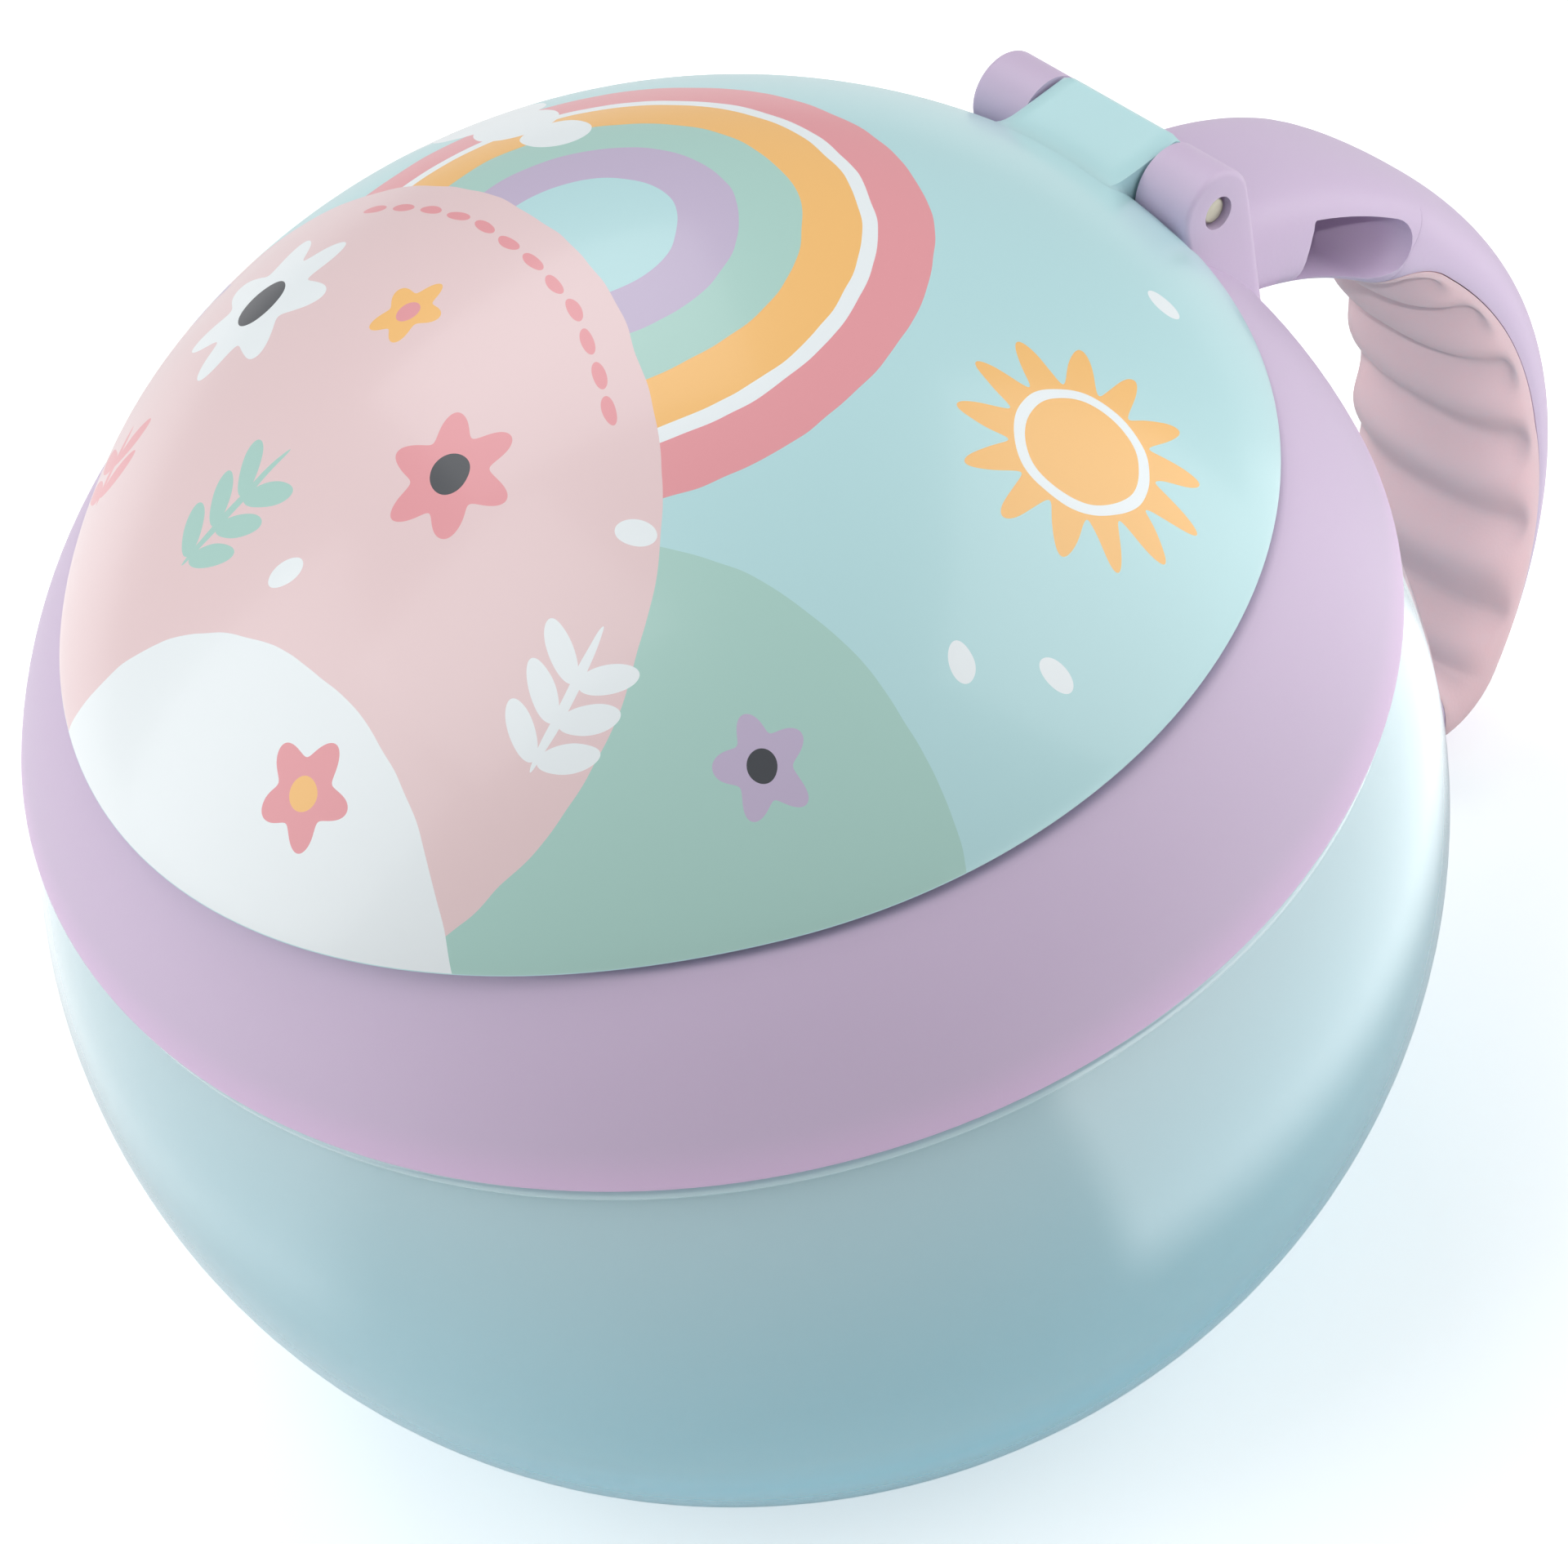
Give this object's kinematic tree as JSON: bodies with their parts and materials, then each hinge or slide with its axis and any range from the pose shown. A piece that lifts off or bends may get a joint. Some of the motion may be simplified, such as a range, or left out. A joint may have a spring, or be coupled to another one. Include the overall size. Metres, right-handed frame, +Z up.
{
  "type": "toddler snack container",
  "caption": "Ball-shaped snack cup with screw-on collar, loop handle, pinned domed flip lid and a soft slit insert in the mouth.",
  "frame": {"origin": "centre of the flat foot, on the surface the cup stands on", "axes": "+Z up along the bowl's axis, +X towards the hinge and the loop handle, +Y completes a right-handed frame"},
  "size_m": [0.1208, 0.0952, 0.0884],
  "materials": {
    "bowl_plastic": "glossy translucent",
    "lid_plastic": "semi-gloss",
    "collar_plastic": "satin",
    "grip_rubber": "soft matte",
    "insert_rubber": "soft matte",
    "pin_steel": "plain"
  },
  "bodies": {
    "bowl": {"bowl": "bowl_plastic"},
    "seal": {"rim_seal": "insert_rubber"},
    "collar": {"collar": "collar_plastic", "handle": "collar_plastic", "handle_grip": "grip_rubber", "hinge_pin": "pin_steel", "flap_ring": "insert_rubber", "flap_retainer": "collar_plastic"},
    "lid": {"lid": "lid_plastic"},
    "flap_1": {"flap_1": "insert_rubber"},
    "flap_2": {"flap_2": "insert_rubber"},
    "flap_3": {"flap_3": "insert_rubber"},
    "flap_4": {"flap_4": "insert_rubber"},
    "flap_5": {"flap_5": "insert_rubber"},
    "flap_6": {"flap_6": "insert_rubber"}
  },
  "joints": [
    {"name": "collar_lift", "type": "slide", "parent": "bowl", "child": "seal", "axis": [0, 0, 1], "range_m": [0, 0.004]},
    {"name": "collar_turn", "type": "hinge", "parent": "seal", "child": "collar", "pos_m": [0, 0, 0.06], "axis": [0, 0, 1], "range_deg": [0, 120]},
    {"name": "lid_hinge", "type": "hinge", "parent": "collar", "child": "lid", "pos_m": [0.04, 0, 0.06985], "axis": [0, 1, 0], "range_deg": [0, 170]},
    {"name": "flap_1_bend", "type": "hinge", "parent": "collar", "child": "flap_1", "pos_m": [0.0252, 0, 0.0696], "axis": [0, -1, 0], "range_deg": [-30, 60], "stiffness_Nm_per_rad": 0.01},
    {"name": "flap_2_bend", "type": "hinge", "parent": "collar", "child": "flap_2", "pos_m": [0.0126, 0.02182, 0.0696], "axis": [0.866, -0.5, 0], "range_deg": [-30, 60], "stiffness_Nm_per_rad": 0.01},
    {"name": "flap_3_bend", "type": "hinge", "parent": "collar", "child": "flap_3", "pos_m": [-0.0126, 0.02182, 0.0696], "axis": [0.866, 0.5, 0], "range_deg": [-30, 60], "stiffness_Nm_per_rad": 0.01},
    {"name": "flap_4_bend", "type": "hinge", "parent": "collar", "child": "flap_4", "pos_m": [-0.0252, 0, 0.0696], "axis": [0, 1, 0], "range_deg": [-30, 60], "stiffness_Nm_per_rad": 0.01},
    {"name": "flap_5_bend", "type": "hinge", "parent": "collar", "child": "flap_5", "pos_m": [-0.0126, -0.02182, 0.0696], "axis": [-0.866, 0.5, 0], "range_deg": [-30, 60], "stiffness_Nm_per_rad": 0.01},
    {"name": "flap_6_bend", "type": "hinge", "parent": "collar", "child": "flap_6", "pos_m": [0.0126, -0.02182, 0.0696], "axis": [-0.866, -0.5, 0], "range_deg": [-30, 60], "stiffness_Nm_per_rad": 0.01}
  ],
  "couplings": [
    {"joint": "collar_lift", "follows": "collar_turn", "m_per_rad": 0.0019099}
  ]
}
